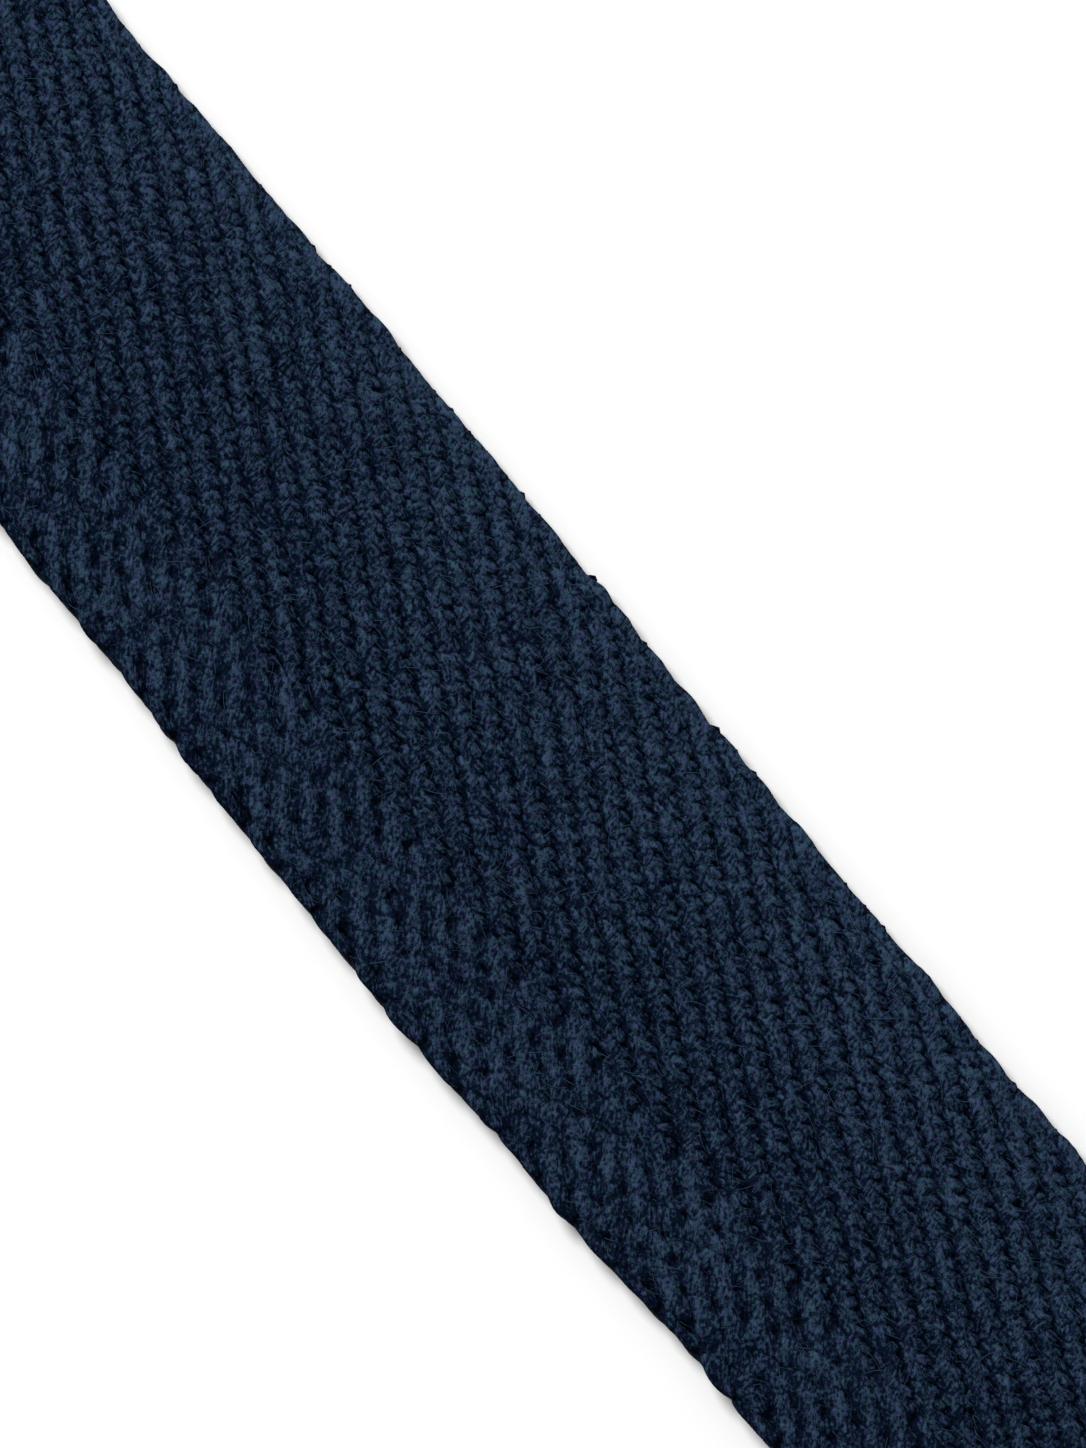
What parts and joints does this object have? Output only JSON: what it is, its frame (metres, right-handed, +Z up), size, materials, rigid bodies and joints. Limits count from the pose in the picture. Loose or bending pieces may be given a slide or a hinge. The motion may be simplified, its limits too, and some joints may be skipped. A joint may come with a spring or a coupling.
{
  "type": "woven hem tape length",
  "caption": "Cut length of narrow woven navy hem tape lying flat, a twill ground with a fuller bead along one selvedge, sewn inside a hem to guard and weight it.",
  "frame": {"origin": "on the surface the tape lies on, under the middle of its box", "axes": "+Y along the tape, +X across it from the bead to the plain selvedge, +Z up out of its face"},
  "size_m": [0.0154, 0.08, 0.0014],
  "materials": {
    "tape_cloth": "matt navy spun yarn, woven"
  },
  "bodies": {
    "root": {"hem_tape": "tape_cloth"}
  },
  "joints": []
}
